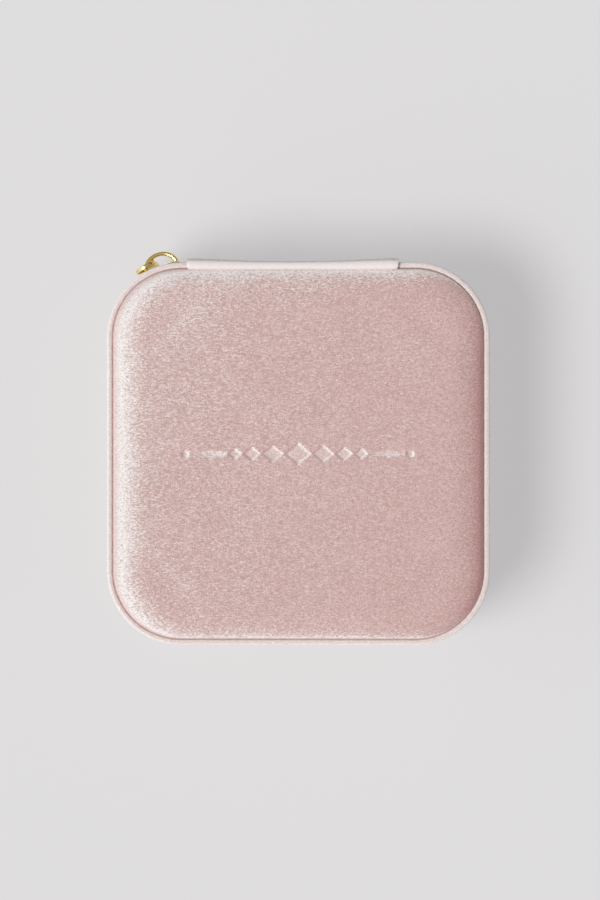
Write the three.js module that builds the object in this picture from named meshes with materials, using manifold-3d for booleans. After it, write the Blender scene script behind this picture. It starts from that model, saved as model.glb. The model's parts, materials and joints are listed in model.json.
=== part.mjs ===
// A square zip-round travel jewellery case: a fabric-covered base with ring rolls and
// compartments, a padded lid with a mirror, a coil zip round three sides, and a fabric
// strap down the back that is the hinge.
// Millimetres. +Z is up, the hinge is at +Y, and the origin is the centre of the
// bottom face. The case is closed, with the zip's slider parked at the back left corner.

import * as THREE from 'three';
import { mergeVertices } from 'three/addons/utils/BufferGeometryUtils.js';
import Module from 'manifold-3d';

const wasm = await Module();
wasm.setup();

// Outside of the closed case
const caseWidth = 100;
const caseDepth = 100;
const caseHeight = 50;
const cornerRadius = 19.6;

// Layers of the wall, from the outside in, with the gap that keeps them apart
const layerGap = 0.15;
const pieceGap = 0.3;
const coverThickness = 0.8;
const tapeThickness = 0.55;
const frameWall = 1.5;
const liningThickness = 0.6;

// Layers of the bottom and of the padded top
const boardThickness = 1.7;
const foamThickness = 1.7;
const pipingSize = 1.35;
const pipingInset = 0.45;
const seamGap = 0.25;
const padDrop = 2;
const padRun = 4.5;

// The zip: its height, the gap between the walls that it bridges, and its slider
const zipHeight = 30;
const zipGap = 8.4;
const tapeOverlap = 3;
const tapeSlit = 1.5;
const coilSize = 1.2;
const coilDepth = 0.85;
const coilSlit = 1.7;
const stopLength = 1.6;
const sliderLength = 9.8;
const sliderFront = 6.8;
const sliderRear = 5.8;
const sliderPlate = 0.75;
const sliderRim = 0.55;
const sliderPost = 1.1;
const sliderAngle = THREE.MathUtils.degToRad(18);
const bailLength = 9.5;
const bailRise = 3.7;
const bailBar = 1;
const bailWidth = 1.5;

// The pull tab, which hangs on one leg of the bail, its hole's centre below the bar
const tabTwist = THREE.MathUtils.degToRad(16);
const tabThickness = 1.2;
const tabHead = 5.9;
const tabHole = 4.3;
const tabSlack = 0.45;
const tabNeck = 4.6;
const tabTip = 6.4;
const tabLength = 20;

// The hinge strap: how far its ends stop short of the back corners
const strapThickness = 1.2;
const strapLeftMargin = 1.4;
const strapRightMargin = 4.2;
const hingeSlit = 0.5;

// Fittings inside
const floorPadThickness = 1.2;
const dividerThickness = 2.4;
const dividerHeight = 16;
const compartmentCount = 3;
const rollCount = 5;
const rollHeight = 14;
const rollSkin = 0.7;
const mirrorThickness = 1.6;
const mirrorInset = 15;
const mirrorLip = 2;
const backingThickness = 1;
const surroundThickness = 3.15;

const cornerSegments = 5;

// Insets from the outline of the case
const halfWidth = caseWidth / 2;
const halfDepth = caseDepth / 2;
const tapeInset = coverThickness + layerGap;
const frameInset = tapeInset + tapeThickness + layerGap;
const liningInset = frameInset + frameWall + layerGap;
const roomInset = liningInset + liningThickness + layerGap;
const padInset = pipingInset + pipingSize + seamGap;
const pocketInset = padInset + coverThickness;
const boardInset = pocketInset + layerGap;

// Heights, from the bottom up
const boardLow = coverThickness + layerGap;
const baseSeam = boardLow + boardThickness + layerGap;
const baseLow = baseSeam + layerGap;
const baseTop = zipHeight - zipGap / 2;
const lidBottom = zipHeight + zipGap / 2;
const foamTop = caseHeight - coverThickness - layerGap;
const topBoardHigh = foamTop - foamThickness - layerGap;
const padLow = topBoardHigh - boardThickness;
const lidFrameTop = padLow - layerGap;
const lidSeam = topBoardHigh;
const frameSetback = 0.2;
const floorTop = baseLow + frameWall;
const floorPadLow = floorTop + layerGap;
const roomFloor = floorPadLow + floorPadThickness + layerGap;
const ceiling = lidFrameTop - frameWall;
const backingLow = ceiling - layerGap - backingThickness;
const mirrorHigh = backingLow - layerGap;
const surroundLow = mirrorHigh - surroundThickness;

// The strap runs along the straight part of the back
const arcX = halfWidth - cornerRadius;
const arcY = halfDepth - cornerRadius;
const strapLeft = strapLeftMargin - arcX;
const strapRight = arcX - strapRightMargin;
const strapFace = halfDepth + layerGap;
const flangeEnd = halfDepth - padInset + layerGap;

const fabric = (color) => new THREE.MeshStandardMaterial({ color, roughness: 0.95, metalness: 0 });
const velvet = fabric(0xc9afab);
const lining = fabric(0xd8c0bb);
const tapeFabric = fabric(0xb98f8b);
const board = fabric(0x9a938a);
const foam = fabric(0xe8e2d2);
const plastic = new THREE.MeshStandardMaterial({ color: 0xe4ddda, roughness: 0.5, metalness: 0 });
const nylon = new THREE.MeshStandardMaterial({ color: 0xb08783, roughness: 0.4, metalness: 0 });
const gold = new THREE.MeshStandardMaterial({ color: 0xd9b577, roughness: 0.25, metalness: 1 });
const silvered = new THREE.MeshStandardMaterial({ color: 0xe9edef, roughness: 0.03, metalness: 1 });

// Booleans
function toSolid(geometry) {
  const bare = geometry.clone();
  bare.deleteAttribute('normal');
  bare.deleteAttribute('uv');
  const welded = mergeVertices(bare, 1e-5);
  return new wasm.Manifold(new wasm.Mesh({
    numProp: 3,
    vertProperties: new Float32Array(welded.attributes.position.array),
    triVerts: new Uint32Array(welded.index.array),
  }));
}

function toGeometry(solid) {
  const mesh = solid.getMesh();
  const geometry = new THREE.BufferGeometry();
  geometry.setAttribute('position', new THREE.BufferAttribute(mesh.vertProperties, 3));
  geometry.setIndex(new THREE.BufferAttribute(mesh.triVerts, 1));
  geometry.computeVertexNormals();
  return geometry;
}

function cut(geometry, ...tools) {
  return toGeometry(tools.reduce((solid, tool) => solid.subtract(toSolid(tool)), toSolid(geometry)));
}

function join(geometry, ...others) {
  return toGeometry(others.reduce((solid, other) => solid.add(toSolid(other)), toSolid(geometry)));
}

function keepInside(geometry, tool) {
  return toGeometry(toSolid(geometry).intersect(toSolid(tool)));
}

// The outline of the case, moved in by an inset
function outline(inset) {
  const radius = Math.max(cornerRadius - inset, 1);
  const x = halfWidth - inset - radius;
  const y = halfDepth - inset - radius;
  const shape = new THREE.Shape();
  shape.absarc(x, y, radius, 0, Math.PI / 2);
  shape.absarc(-x, y, radius, Math.PI / 2, Math.PI);
  shape.absarc(-x, -y, radius, Math.PI, Math.PI * 1.5);
  shape.absarc(x, -y, radius, Math.PI * 1.5, Math.PI * 2);
  return shape;
}

// A shape drawn from above, from one height to another, with its edges eased by a bevel
function upright(shape, low, high, edge = 0, rise = edge, steps = 1) {
  const geometry = new THREE.ExtrudeGeometry(shape, {
    depth: high - low - 2 * rise,
    curveSegments: cornerSegments,
    bevelEnabled: edge > 0,
    bevelSize: edge,
    bevelOffset: -edge,
    bevelThickness: rise,
    bevelSegments: steps,
  });
  return geometry.translate(0, 0, low + rise);
}

function slab(inset, low, high, edge = 0) {
  return upright(outline(inset), low, high, edge);
}

function band(inset, width, low, high, edge = 0, steps = 1) {
  const shape = outline(inset);
  shape.holes.push(outline(inset + width));
  return upright(shape, low, high, edge, edge, steps);
}

// A slab whose top falls by a drop over a run at its edge, as a quarter ellipse
function crownedSlab(inset, low, high, drop, run) {
  const pillow = upright(outline(inset), low - 2 * drop, high, run, drop, 5);
  return cut(pillow, block(-halfWidth, halfWidth, -halfDepth, halfDepth, low - 3 * drop, low));
}

function block(left, right, front, back, low, high) {
  const geometry = new THREE.BoxGeometry(right - left, back - front, high - low);
  return geometry.translate((left + right) / 2, (front + back) / 2, (low + high) / 2);
}

// A shape drawn in Y and Z, from one X to another
function alongX(shape, left, right) {
  const geometry = new THREE.ExtrudeGeometry(shape, {
    depth: right - left,
    curveSegments: cornerSegments,
    bevelEnabled: false,
  });
  geometry.applyMatrix4(new THREE.Matrix4().makeBasis(
    new THREE.Vector3(0, 1, 0), new THREE.Vector3(0, 0, 1), new THREE.Vector3(1, 0, 0)));
  return geometry.translate(left, 0, 0);
}

// A shape drawn in X and Z, from one Y out to another
function alongY(shape, near, far, edge = 0) {
  const geometry = upright(shape, -far, -near, edge);
  return geometry.applyMatrix4(new THREE.Matrix4().makeBasis(
    new THREE.Vector3(1, 0, 0), new THREE.Vector3(0, 0, 1), new THREE.Vector3(0, -1, 0)));
}

const jewelleryCase = new THREE.Group();

function add(name, geometry, material, group = jewelleryCase) {
  const mesh = new THREE.Mesh(geometry, material);
  mesh.name = name;
  group.add(mesh);
}

// The base: a moulded tub, covered outside, lined inside, on a board in a fabric tray
function addBase() {
  const frameTop = baseTop - frameSetback;
  add('base_frame', cut(
    slab(frameInset, baseLow, frameTop),
    slab(frameInset + frameWall, floorTop, frameTop + frameWall)), plastic);
  add('base_wall_cover', band(0, coverThickness, baseLow, baseTop, coverThickness / 3), velvet);
  add('bottom_cover', cut(
    slab(padInset, 0, baseSeam, coverThickness / 2),
    slab(pocketInset, coverThickness, baseSeam + coverThickness)), velvet);
  add('bottom_board', slab(boardInset, boardLow, boardLow + boardThickness), board);
  add('base_piping',
    band(pipingInset, pipingSize, baseSeam - pipingSize, baseSeam, pipingSize * 0.4, 2), velvet);
  add('base_lining', band(liningInset, liningThickness, floorPadLow, frameTop), lining);
  add('floor_pad', slab(roomInset, floorPadLow, floorPadLow + floorPadThickness), lining);
}

// The lid: the same tub turned over, with a board and foam under a crowned fabric top
function addLid() {
  const frameBottom = lidBottom + frameSetback;
  add('lid_frame', cut(
    slab(frameInset, frameBottom, lidFrameTop),
    slab(frameInset + frameWall, frameBottom - frameWall, ceiling)), plastic);
  add('lid_wall_cover',
    band(0, coverThickness, lidBottom, lidSeam - layerGap, coverThickness / 3), velvet);
  add('lid_piping',
    band(pipingInset, pipingSize, lidSeam, lidSeam + pipingSize, pipingSize * 0.4, 2), velvet);
  const pocketDrop = padDrop - coverThickness;
  const pocketRun = padRun - coverThickness;
  add('lid_top_board', slab(boardInset, padLow, topBoardHigh), board);
  add('lid_top_foam',
    crownedSlab(boardInset, topBoardHigh + layerGap, foamTop, pocketDrop, pocketRun), foam);
  add('lid_top_cover', cut(
    crownedSlab(padInset, padLow, caseHeight, padDrop, padRun),
    crownedSlab(pocketInset, padLow - padDrop, caseHeight - coverThickness, pocketDrop, pocketRun),
  ), velvet);
  add('lid_lining',
    band(liningInset, liningThickness, frameBottom, ceiling - layerGap), lining);
}

// The mirror lies on a board under the lid, held by a padded surround with a rebate
function addMirror() {
  add('mirror_backing', slab(roomInset, backingLow, ceiling - layerGap), board);
  add('mirror', slab(mirrorInset, mirrorHigh - mirrorThickness, mirrorHigh), silvered);
  add('mirror_surround', cut(
    band(roomInset, mirrorInset + mirrorLip - roomInset, surroundLow, mirrorHigh, 0.5),
    slab(mirrorInset - pieceGap, mirrorHigh - mirrorThickness - layerGap, mirrorHigh + pieceGap),
  ), lining);
}

// The strap down the back is the hinge. It is turned in over the bead at the top and
// bottom, and split at the zip's height, where the fabric bends.
function addHinge() {
  const splitLow = zipHeight - hingeSlit / 2;
  const splitHigh = zipHeight + hingeSlit / 2;
  const outer = strapFace + strapThickness;
  const foot = baseSeam - pipingSize - layerGap;
  const head = lidSeam + pipingSize + layerGap;
  const round = strapThickness * 0.6;

  const lower = new THREE.Shape();
  lower.moveTo(flangeEnd, foot - coverThickness);
  lower.lineTo(outer - round, foot - coverThickness);
  lower.absarc(outer - round, foot - coverThickness + round, round, -Math.PI / 2, 0);
  lower.lineTo(outer, splitLow);
  lower.lineTo(strapFace, splitLow);
  lower.lineTo(strapFace, foot);
  lower.lineTo(flangeEnd, foot);
  add('hinge_strap_base', alongX(lower, strapLeft, strapRight), velvet);

  const upper = new THREE.Shape();
  upper.moveTo(flangeEnd, head);
  upper.lineTo(strapFace, head);
  upper.lineTo(strapFace, splitHigh);
  upper.lineTo(outer, splitHigh);
  upper.lineTo(outer, head + coverThickness - round);
  upper.absarc(outer - round, head + coverThickness - round, round, 0, Math.PI / 2);
  upper.lineTo(flangeEnd, head + coverThickness);
  add('hinge_strap_lid', alongX(upper, strapLeft, strapRight), velvet);

  const near = halfDepth - tapeInset - tapeThickness;
  const far = halfDepth - tapeInset;
  add('hinge_lining_base',
    block(strapLeft, strapRight, near, far, baseTop - tapeOverlap, splitLow), tapeFabric);
  add('hinge_lining_lid',
    block(strapLeft, strapRight, near, far, splitHigh, lidBottom + tapeOverlap), tapeFabric);
}

// The zip's two halves run round the case from one end of the strap to the other. The
// lid's half starts beyond the parked slider, so that the lid can lift away from it.
function addZip() {
  const tapeLow = zipHeight - tapeSlit / 2;
  const tapeHigh = zipHeight + tapeSlit / 2;
  const coilLow = zipHeight - coilSlit / 2;
  const coilHigh = zipHeight + coilSlit / 2;
  const stopLeft = strapLeft - pieceGap - stopLength;
  const stopRight = strapRight + pieceGap + stopLength;

  const behindStrap = (left, right) => block(
    left, right, arcY, halfDepth + pieceGap, baseTop - zipGap, lidBottom + zipGap);
  const sliderReach = sliderAngle + Math.atan2(sliderLength / 2, cornerRadius - roomInset);
  const reach = cornerRadius * 1.5;
  const wedge = new THREE.Shape();
  wedge.moveTo(-arcX, arcY);
  wedge.lineTo(0, arcY);
  wedge.lineTo(0, arcY + reach);
  wedge.lineTo(-arcX - reach * Math.tan(sliderReach), arcY + reach);
  const beyondSlider = upright(wedge, zipHeight, lidBottom + zipGap);

  add('zip_tape_base', cut(
    band(tapeInset, tapeThickness, baseTop - tapeOverlap, tapeLow),
    behindStrap(strapLeft - pieceGap, strapRight + pieceGap)), tapeFabric);
  add('zip_tape_lid', cut(
    band(tapeInset, tapeThickness, tapeHigh, lidBottom + tapeOverlap),
    behindStrap(strapLeft - pieceGap, strapRight + pieceGap), beyondSlider), tapeFabric);
  add('zip_coil_base', cut(
    band(0, coilDepth, coilLow - coilSize, coilLow, coilDepth * 0.3),
    behindStrap(stopLeft - pieceGap, stopRight + pieceGap)), nylon);
  add('zip_coil_lid', cut(
    band(0, coilDepth, coilHigh, coilHigh + coilSize, coilDepth * 0.3),
    behindStrap(stopLeft - pieceGap, stopRight + pieceGap), beyondSlider), nylon);

  const stop = (left, right) => block(
    left, right, halfDepth - coilDepth, halfDepth, coilLow - coilSize, coilLow);
  add('zip_top_stop', stop(stopLeft, strapLeft - pieceGap), gold);
  add('zip_bottom_stop', stop(strapRight + pieceGap, stopRight), gold);
}

// The slider straddles the zip at the back left corner. Its group is centred on the
// corner's arc and turned along it, so local Y points out and local X along the zip.
function addSlider() {
  const slider = new THREE.Group();
  slider.position.set(-arcX, arcY, zipHeight);
  slider.rotation.z = sliderAngle;
  jewelleryCase.add(slider);

  const half = sliderLength / 2;
  const chamfer = sliderPlate;
  const plate = new THREE.Shape();
  plate.moveTo(-half, -sliderRear / 2 + chamfer);
  plate.lineTo(-half + chamfer, -sliderRear / 2);
  plate.lineTo(half - chamfer, -sliderFront / 2);
  plate.lineTo(half, -sliderFront / 2 + chamfer);
  plate.lineTo(half, sliderFront / 2 - chamfer);
  plate.lineTo(half - chamfer, sliderFront / 2);
  plate.lineTo(-half + chamfer, sliderRear / 2);
  plate.lineTo(-half, sliderRear / 2 - chamfer);

  // The outer plate clears the coils, and the inner one clears the curved tape behind it
  const outerLow = cornerRadius + layerGap;
  const outerHigh = outerLow + sliderPlate;
  const tapeBack = cornerRadius - tapeInset - tapeThickness;
  const innerHigh = Math.sqrt(tapeBack ** 2 - half ** 2) - layerGap;
  const postEnd = half - chamfer;
  const rimFar = sliderRear / 2 - sliderPlate * 0.1;
  const rimLow = cornerRadius - tapeInset + layerGap * 2;
  const rim = (side) => block(-half + 2 * chamfer, half - 2 * chamfer, rimLow, outerLow + layerGap,
    Math.min(side * rimFar, side * (rimFar - sliderRim)),
    Math.max(side * rimFar, side * (rimFar - sliderRim)));
  const post = block(postEnd - 2, postEnd, innerHigh - layerGap, outerLow + layerGap,
    -sliderPost / 2, sliderPost / 2);
  add('slider_body', join(
    alongY(plate, outerLow, outerHigh, sliderPlate / 4),
    alongY(plate, innerHigh - sliderPlate, innerHigh, sliderPlate / 4),
    rim(-1), rim(1), post), gold, slider);

  // The bail is half an ellipse, standing out from the outer plate
  const bailFoot = outerHigh + layerGap;
  const arch = new THREE.Shape();
  arch.absellipse(0, 0, bailLength / 2, bailRise, 0, Math.PI);
  arch.absellipse(0, 0, bailLength / 2 - bailBar, bailRise - bailBar, Math.PI, 0, true);
  const bail = upright(arch, -bailWidth / 2, bailWidth / 2, bailBar / 4);
  add('slider_bail', bail.translate(0, bailFoot, 0), gold, slider);

  // The tab hangs on the bail's far leg, at the middle of the bar a little way out
  const pivotRise = tabThickness * 0.75;
  const legX = (semiAxis, rise) => -semiAxis * Math.sqrt(1 - (pivotRise / rise) ** 2);
  const pivot = new THREE.Group();
  pivot.position.set(
    (legX(bailLength / 2, bailRise) + legX(bailLength / 2 - bailBar, bailRise - bailBar)) / 2,
    bailFoot + pivotRise, 0);
  pivot.rotation.z = tabTwist;
  slider.add(pivot);
  add('pull_tab', pullTab(), gold, pivot);
}

function pullTab() {
  const headRadius = tabHead / 2;
  const tipRadius = tabTip / 2;
  const tipDrop = tabLength - tipRadius;
  const waist = -tabSlack - headRadius * 1.6;
  const shape = new THREE.Shape();
  shape.absarc(0, -tabSlack, headRadius, -Math.PI / 5, Math.PI * 1.2);
  shape.lineTo(-tabNeck / 2, waist);
  shape.lineTo(-tipRadius, -tipDrop);
  shape.absarc(0, -tipDrop, tipRadius, Math.PI, Math.PI * 2);
  shape.lineTo(tabNeck / 2, waist);
  const hole = new THREE.Path();
  hole.absarc(0, -tabSlack, tabHole / 2, 0, Math.PI * 2);
  shape.holes.push(hole);
  return alongY(shape, -tabThickness / 2, tabThickness / 2, tabThickness / 7);
}

// Five padded ring rolls on the left, each a fabric skin round a foam core
function rollSection(width, height) {
  const rise = height * 0.55;
  const shape = new THREE.Shape();
  shape.moveTo(-width / 2, 0);
  shape.lineTo(width / 2, 0);
  shape.absellipse(0, height - rise, width / 2, rise, 0, Math.PI);
  return shape;
}

function addRingRolls() {
  const pitch = (caseDepth - 2 * roomInset) / rollCount;
  const width = pitch - pieceGap;
  const left = -halfWidth + roomInset;
  const right = -dividerThickness / 2 - pieceGap;
  const room = slab(roomInset + pieceGap / 2, roomFloor - pieceGap, roomFloor + rollHeight + 1);
  for (let i = 0; i < rollCount; i++) {
    const y = (i + 0.5) * pitch - halfDepth + roomInset;
    const skin = rollSection(width, rollHeight);
    const inner = rollSection(width - 2 * rollSkin, rollHeight - 2 * rollSkin);
    const coreSize = rollSkin + layerGap;
    const core = rollSection(width - 2 * coreSize, rollHeight - 2 * coreSize);
    const tube = cut(
      alongX(skin, left, right),
      alongX(inner, left - 1, right + 1).translate(0, 0, rollSkin));
    add(`ring_roll_cover_${i + 1}`,
      keepInside(tube.translate(0, y, roomFloor), room), velvet);
    add(`ring_roll_core_${i + 1}`, keepInside(
      alongX(core, left, right).translate(0, y, roomFloor + coreSize), room), foam);
  }
}

// Dividers: one down the middle, and cross walls that make the compartments on the right
function addDividers() {
  const half = dividerThickness / 2;
  const top = roomFloor + dividerHeight;
  const reach = halfDepth - roomInset - pieceGap;
  add('centre_divider', block(-half, half, -reach, reach, roomFloor, top), lining);
  const pitch = (caseDepth - 2 * roomInset) / compartmentCount;
  for (let i = 1; i < compartmentCount; i++) {
    const y = i * pitch - halfDepth + roomInset;
    add(`cross_divider_${i}`, block(half + pieceGap, halfWidth - roomInset - pieceGap,
      y - half, y + half, roomFloor, top), lining);
  }
}

addBase();
addLid();
addMirror();
addHinge();
addZip();
addSlider();
addRingRolls();
addDividers();

export default jewelleryCase;
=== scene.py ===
# Zip-round velvet jewellery case: fabrics, zip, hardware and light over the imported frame.
# Everything is in metres, in the frame's own axes: +Z up, hinge at +Y, front at -Y.

import json
import math

import bmesh
import bpy
import numpy as np
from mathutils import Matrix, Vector


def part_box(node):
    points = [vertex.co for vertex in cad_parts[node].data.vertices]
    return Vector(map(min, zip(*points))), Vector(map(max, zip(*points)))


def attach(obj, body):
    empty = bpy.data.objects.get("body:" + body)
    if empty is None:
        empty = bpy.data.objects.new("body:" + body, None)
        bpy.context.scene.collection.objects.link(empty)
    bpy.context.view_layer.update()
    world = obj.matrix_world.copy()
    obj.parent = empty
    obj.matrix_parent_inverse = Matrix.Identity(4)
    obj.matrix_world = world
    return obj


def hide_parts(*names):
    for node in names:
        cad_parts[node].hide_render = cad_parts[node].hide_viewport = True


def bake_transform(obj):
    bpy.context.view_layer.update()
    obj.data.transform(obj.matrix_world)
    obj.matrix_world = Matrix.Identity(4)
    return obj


bpy.ops.wm.read_factory_settings(use_empty=True)
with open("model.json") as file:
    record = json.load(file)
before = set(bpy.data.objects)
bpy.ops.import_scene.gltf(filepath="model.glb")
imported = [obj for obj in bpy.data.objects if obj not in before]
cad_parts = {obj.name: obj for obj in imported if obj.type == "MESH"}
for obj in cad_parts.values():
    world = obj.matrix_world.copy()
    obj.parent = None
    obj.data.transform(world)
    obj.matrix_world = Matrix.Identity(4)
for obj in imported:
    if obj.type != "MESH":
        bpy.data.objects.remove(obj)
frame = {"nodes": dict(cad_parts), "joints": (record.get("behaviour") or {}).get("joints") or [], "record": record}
scene = bpy.context.scene
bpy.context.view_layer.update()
mm = 0.001


def limits(node):
    low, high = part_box(node)
    return np.array(low), np.array(high)


def jointSetting(name):
    found = next(joint for joint in frame["joints"] if joint["name"] == name)
    return np.array(found["pos_m"]), np.array(found["axis"])


half = limits("base_wall_cover")[1][0]          # from the middle of the case to its side
arcCentre = jointSetting("slider_travel")[0]    # middle of the back left corner's arc
hinge = jointSetting("lid_hinge")[0]
cornerRadius = half + arcCentre[0]
runLength = 2 * (half - cornerRadius)           # the straight part of a side
arcLength = cornerRadius * math.pi / 2
lapLength = 4 * (runLength + arcLength)
zipHeight = arcCentre[2]
strapEnds = limits("hinge_strap_base")[0][0], limits("hinge_strap_base")[1][0]


def insetOf(node):
    return half - limits(node)[1][0]


def outlineAt(way, inset=0.0):
    # four straight runs joined by quarter circles. way is the distance round, anticlockwise
    # from the middle of the back; inset moves the point in along its normal
    along = np.mod(np.asarray(way, float) + runLength / 2, lapLength)
    side = np.floor(along / (runLength + arcLength))
    rest = along - side * (runLength + arcLength)
    quarter = side * math.pi / 2
    turn = quarter + np.maximum(rest - runLength, 0) / cornerRadius
    straight = (np.minimum(rest, runLength) - runLength / 2)[..., None]
    normal = np.stack([-np.sin(turn), np.cos(turn)], -1)
    out = np.stack([-np.sin(quarter), np.cos(quarter)], -1)
    ahead = np.stack([-np.cos(quarter), -np.sin(quarter)], -1)
    inset = np.asarray(inset, float)[..., None]
    return out * (half - cornerRadius) + ahead * straight + normal * (cornerRadius - inset), normal


def insideBy(x, y, inset):
    # how far a point lies inside the outline moved in by inset: a rounded box's distance
    radius = cornerRadius - inset
    overX, overY = np.abs(x) - (half - cornerRadius), np.abs(y) - (half - cornerRadius)
    beyond = np.hypot(np.maximum(overX, 0), np.maximum(overY, 0))
    return radius - beyond - np.minimum(np.maximum(overX, overY), 0)


def smooth(low, high, value):
    t = np.clip((value - low) / (high - low), 0, 1)
    return t * t * (3 - 2 * t)


def ripple(a, b, size, seed=0.0):
    # a soft uneven height between -1 and 1: five sine waves of unlike lengths, added up
    total = 0
    for k, (p, q) in enumerate([(1, 0.6), (-0.7, 1.3), (1.9, -0.8), (0.4, 2.3), (-2.2, -1.7)]):
        total = total + np.sin((p * a + q * b) / size + seed * (k + 1) + k * k) / (1.4 + 0.5 * k)
    return total / 2.2


def makeMesh(name, points, faces, uv=None):
    mesh = bpy.data.meshes.new(name)
    mesh.from_pydata(np.asarray(points, float).tolist(), [], faces)
    if uv is not None:
        layer = mesh.uv_layers.new(name="cloth")
        corner = np.empty(len(mesh.loops), np.int32)
        mesh.loops.foreach_get("vertex_index", corner)
        layer.data.foreach_set("uv", np.asarray(uv, np.float32)[corner].ravel())
    mesh.polygons.foreach_set("use_smooth", np.ones(len(mesh.polygons), bool))
    mesh.update()
    piece = bpy.data.objects.new(name, mesh)
    scene.collection.objects.link(piece)
    return piece


def faceOut(piece):
    work = bmesh.new()
    work.from_mesh(piece.data)
    bmesh.ops.remove_doubles(work, verts=work.verts, dist=1e-7)
    bmesh.ops.recalc_face_normals(work, faces=work.faces)
    work.to_mesh(piece.data)
    work.free()
    return piece


def gridFaces(grid, start=0, wrapU=False, wrapV=False, capped=False):
    # quads between neighbouring points of a grid, closed on itself where it wraps. Capped, its
    # first and last rows are closed with one flat face each. start is its first point's number
    index = start + np.arange(grid.shape[0] * grid.shape[1]).reshape(grid.shape[:2])
    caps = [index[0].tolist(), index[-1][::-1].tolist()] if capped else []
    if wrapU:
        index = np.concatenate([index, index[:1]], 0)
    if wrapV:
        index = np.concatenate([index, index[:, :1]], 1)
    quads = np.stack([index[:-1, :-1], index[1:, :-1], index[1:, 1:], index[:-1, 1:]], -1)
    return quads.reshape(-1, 4).tolist() + caps


def skin(name, grid, uv=None, **closing):
    # a surface through a grid of points, with its faces outwards
    uv = None if uv is None else uv.reshape(-1, 2)
    return faceOut(makeMesh(name, grid.reshape(-1, 3), gridFaces(grid, **closing), uv))


def joined(name, parts):
    # several grids of points as one mesh; each part is a grid and how it is closed
    points, faces = [], []
    for grid, closing in parts:
        faces += gridFaces(grid, sum(map(len, points)), **closing)
        points.append(grid.reshape(-1, 3))
    return faceOut(makeMesh(name, np.concatenate(points), faces))


def squared(wave, power):
    # a sine or cosine pushed towards 1 and -1, which makes a circle a rounded square
    return np.sign(wave) * np.abs(wave) ** power


def unit(vectors):
    return vectors / np.linalg.norm(vectors, axis=1)[:, None]


def gridOf(x, y, z):
    # a grid of points whose three coordinates may each be constant along a row or a column
    return np.stack(np.broadcast_arrays(x, y, z), -1)


def roundOver(radius, rows):
    # a quarter circle at an edge: how far in each point is, and how far it has risen
    turn = np.linspace(0, math.pi / 2, rows)
    return radius * (1 - np.sin(turn)), radius * (1 - np.cos(turn))


def lengthsAlong(way):
    return np.concatenate([[0], np.cumsum(np.linalg.norm(np.diff(way, axis=0), axis=1))])


def pointsAlong(way, places):
    # the points of a way at given lengths from its start
    length = lengthsAlong(way)
    return np.stack([np.interp(places, length, part) for part in way.T], -1)


def roundedBox(left, right, low, high, radius, rows=1, steps=4):
    # the outline of a box with quarter-circle corners, its upright sides cut into rows
    angle = np.linspace(0, math.pi / 2, steps + 1)
    corners = [(right - radius, high - radius), (left + radius, high - radius),
               (left + radius, low + radius), (right - radius, low + radius)]
    arcs = [np.stack([x + radius * np.cos(angle + k * math.pi / 2),
                      y + radius * np.sin(angle + k * math.pi / 2)], -1)
            for k, (x, y) in enumerate(corners)]
    share = np.linspace(0, 1, rows + 1)[1:-1, None]
    down = arcs[1][-1] * (1 - share) + arcs[2][0] * share
    up = arcs[3][-1] * (1 - share) + arcs[0][0] * share
    return np.concatenate([arcs[0], arcs[1], down, arcs[2], arcs[3], up])


def carry(name, way, profile, closed=True, marks=None):
    # a closed loop of (outwards, height) points carried round the outline; it may differ from
    # place to place. The cloth map holds lengths along and across, or the marks that are given
    point, normal = outlineAt(way)
    profile = np.broadcast_to(profile, (len(way),) + profile.shape[-2:])
    grid = np.empty(profile.shape[:2] + (3,))
    grid[..., :2] = point[:, None] + normal[:, None] * profile[..., :1]
    grid[..., 2] = profile[..., 1]
    uv = np.empty(profile.shape[:2] + (2,))
    uv[..., 0] = np.asarray(way)[:, None]
    uv[..., 1] = lengthsAlong(profile[0])
    if marks is not None:
        uv[:] = marks
    return skin(name, grid, uv, wrapU=closed, wrapV=True, capped=not closed)


def wayRound(step):
    return np.arange(0, lapLength, lapLength / round(lapLength / step))


def plate(insets, heights, stations=480, drawIn=0.012):
    # a closed form made of rings: each ring is the outline at an inset and a height, and
    # rings further in than drawIn past the first shrink towards the middle instead
    way = wayRound(lapLength / stations)
    insets = np.asarray(insets, float)
    start = insets.min()
    inner = np.minimum(insets - start, drawIn)
    shrink = 1 - np.maximum(insets - start - drawIn, 0) / (half - start - drawIn)
    point, _ = outlineAt(way[:, None], start + inner[None])
    grid = np.empty((len(way), len(insets), 3))
    grid[..., :2] = point * shrink[None, :, None]
    grid[..., 2] = heights
    return grid


class Value:
    # a socket that plain arithmetic works on
    def __init__(self, shader, socket):
        self.shader, self.socket = shader, socket

    def maths(self, operation, first, second=0.0):
        return self.shader.node("ShaderNodeMath", {"operation": operation}, {0: first, 1: second})

    def __add__(self, other):
        return self.maths("ADD", self, other)

    def __sub__(self, other):
        return self.maths("SUBTRACT", self, other)

    def __rsub__(self, other):
        return self.maths("SUBTRACT", other, self)

    def __mul__(self, other):
        return self.maths("MULTIPLY", self, other)

    __radd__, __rmul__ = __add__, __mul__


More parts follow.
